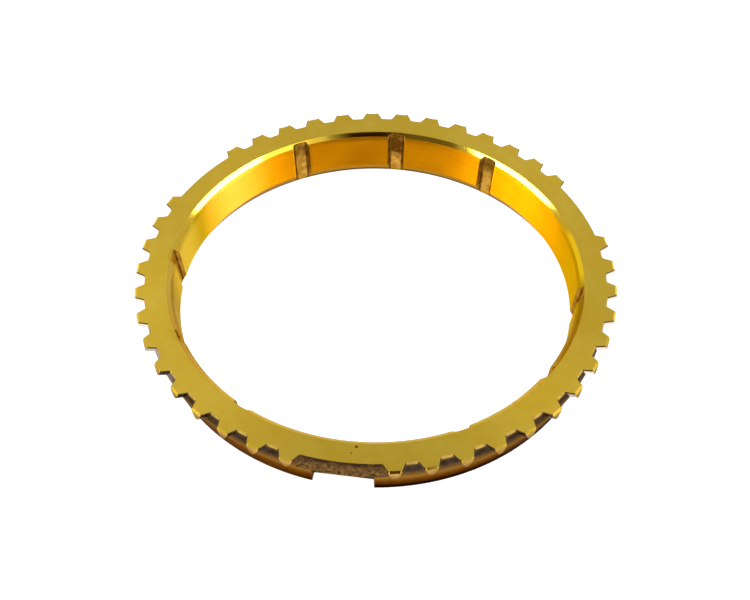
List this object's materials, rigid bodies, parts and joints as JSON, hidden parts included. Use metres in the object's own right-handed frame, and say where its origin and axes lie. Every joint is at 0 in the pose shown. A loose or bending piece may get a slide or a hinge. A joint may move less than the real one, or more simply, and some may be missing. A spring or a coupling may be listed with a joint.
{
  "type": "synchronizer ring",
  "caption": "Brass synchronizer ring with blocking teeth in spaced groups round a flat flange, a tapered friction bore with oil grooves, and key slots in the hub.",
  "frame": {"origin": "on the ring's axis, in the plane of the bottom face of the hub", "axes": "+Z along the ring's axis, from the hub's bottom face to the toothed top face; -Y through the middle of a tooth gap over a key slot"},
  "size_m": [0.1, 0.0991, 0.0111],
  "materials": {
    "brass": "turned and polished on the face and bore, as forged on the hub"
  },
  "bodies": {
    "root": {"synchronizer_ring": "brass"}
  },
  "joints": []
}
